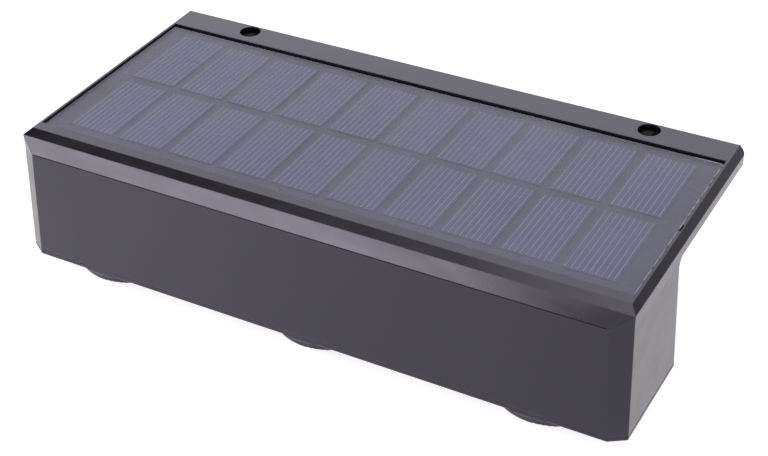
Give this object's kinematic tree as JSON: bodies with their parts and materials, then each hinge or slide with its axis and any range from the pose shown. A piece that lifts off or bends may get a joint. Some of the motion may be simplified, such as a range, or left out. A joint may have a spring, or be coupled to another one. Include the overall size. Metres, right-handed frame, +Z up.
{
  "type": "fence light",
  "caption": "Solar fence light: a black box under a solar panel, hung on a rail by a screwed rear flange, with domed lenses that shine down.",
  "frame": {"origin": "midway between the two screw holes, on the underside of the flange that lies on the rail", "axes": "+X along the rail to the right as seen from the front, +Y from the front towards the rail, +Z up"},
  "size_m": [0.2024, 0.0929, 0.0496],
  "materials": {
    "housing_black": "fine satin moulded black plastic",
    "cover_black": "fine satin moulded black plastic",
    "solar_cell": "blue-grey silicon with fine light collector lines",
    "panel_laminate": "clear hard laminate with a faint haze",
    "board_backing": "dark grey board",
    "glue": "clear to milky glue",
    "lens_clear": "clear plastic, gloss outside",
    "seal_rubber": "soft black rubber",
    "reflector_white": "white gloss",
    "lamp_board_white": "white board lacquer",
    "led_yellow": "white package with yellow phosphor",
    "screw_steel": "zinc plated steel",
    "contact_metal": "nickel plated spring steel",
    "cell_sleeve": "plain plastic sleeve",
    "cradle_black": "plain black plastic",
    "foam_tape": "white foam",
    "board_green": "green board lacquer",
    "chip_black": "black package",
    "ferrite": "dark ferrite",
    "can_aluminium": "bright can",
    "button_rubber": "soft black rubber",
    "plunger_white": "plain white plastic",
    "lead_red": "red insulation",
    "lead_black": "black insulation",
    "lead_white": "white insulation"
  },
  "bodies": {
    "lamp": {"housing": "housing_black", "bottom_cover": "cover_black", "panel_board": "board_backing", "solar_cells": "solar_cell", "panel_cover": "panel_laminate", "panel_adhesive": "glue", "panel_terminals": "contact_metal", "lead_grommet": "seal_rubber", "cover_gasket": "seal_rubber", "cover_screws": "screw_steel", "lens_left": "lens_clear", "lens_centre": "lens_clear", "lens_right": "lens_clear", "lens_seals": "seal_rubber", "reflector_left": "reflector_white", "reflector_centre": "reflector_white", "reflector_right": "reflector_white", "led_board": "lamp_board_white", "led_left": "led_yellow", "led_centre": "led_yellow", "led_right": "led_yellow", "led_board_screws": "screw_steel", "battery_cell": "cell_sleeve", "battery_holder": "cradle_black", "battery_tape": "foam_tape", "battery_contact_positive": "contact_metal", "battery_contact_negative": "contact_metal", "battery_spring": "contact_metal", "control_board": "board_green", "control_chip": "chip_black", "boost_inductor": "ferrite", "storage_capacitor": "can_aluminium", "control_board_screws": "screw_steel", "switch_body": "chip_black", "button_seal": "seal_rubber", "panel_lead_positive": "lead_red", "panel_lead_negative": "lead_black", "battery_lead_positive": "lead_red", "battery_lead_negative": "lead_black", "lamp_lead_positive": "lead_red", "lamp_lead_negative": "lead_black", "switch_lead_a": "lead_white", "switch_lead_b": "lead_white"},
    "button": {"button_cap": "button_rubber", "switch_plunger": "plunger_white"}
  },
  "joints": [
    {"name": "button_press", "type": "slide", "parent": "lamp", "child": "button", "axis": [0, 0, 1], "range_m": [0, 0.0012], "stiffness_N_per_m": 1200, "springref_m": -0.0005}
  ]
}
